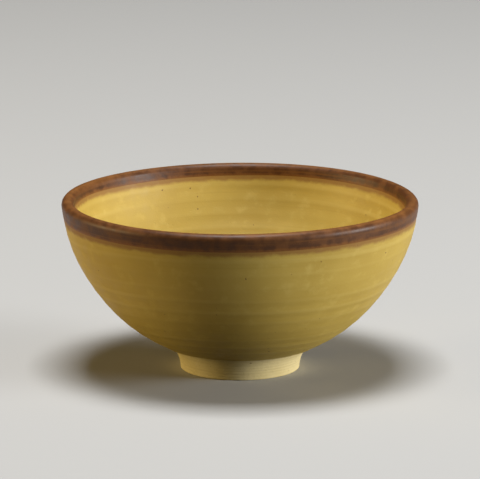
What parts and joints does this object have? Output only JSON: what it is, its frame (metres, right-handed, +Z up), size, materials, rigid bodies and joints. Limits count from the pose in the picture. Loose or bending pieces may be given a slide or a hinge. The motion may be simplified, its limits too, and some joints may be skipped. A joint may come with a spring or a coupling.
{
  "type": "footed bowl",
  "caption": "Round bowl on a foot ring, with an ochre slip coat inside and out, a brown slip band over the lip and a bare clay foot, for holding food or drink.",
  "frame": {"origin": "centre of the foot ring, on the surface that the bowl stands on", "axes": "+Z up along the axis of the bowl, from the foot to the mouth; X and Y are free because the bowl is round"},
  "size_m": [0.15, 0.15, 0.073],
  "materials": {
    "clay": "bare fired buff clay, matte",
    "ochre_slip": "satin ochre slip",
    "brown_slip": "satin iron-brown slip"
  },
  "bodies": {
    "root": {"bowl_body": "clay", "foot_ring": "clay", "outer_slip": "ochre_slip", "inner_slip": "ochre_slip", "rim_band": "brown_slip"}
  },
  "joints": []
}
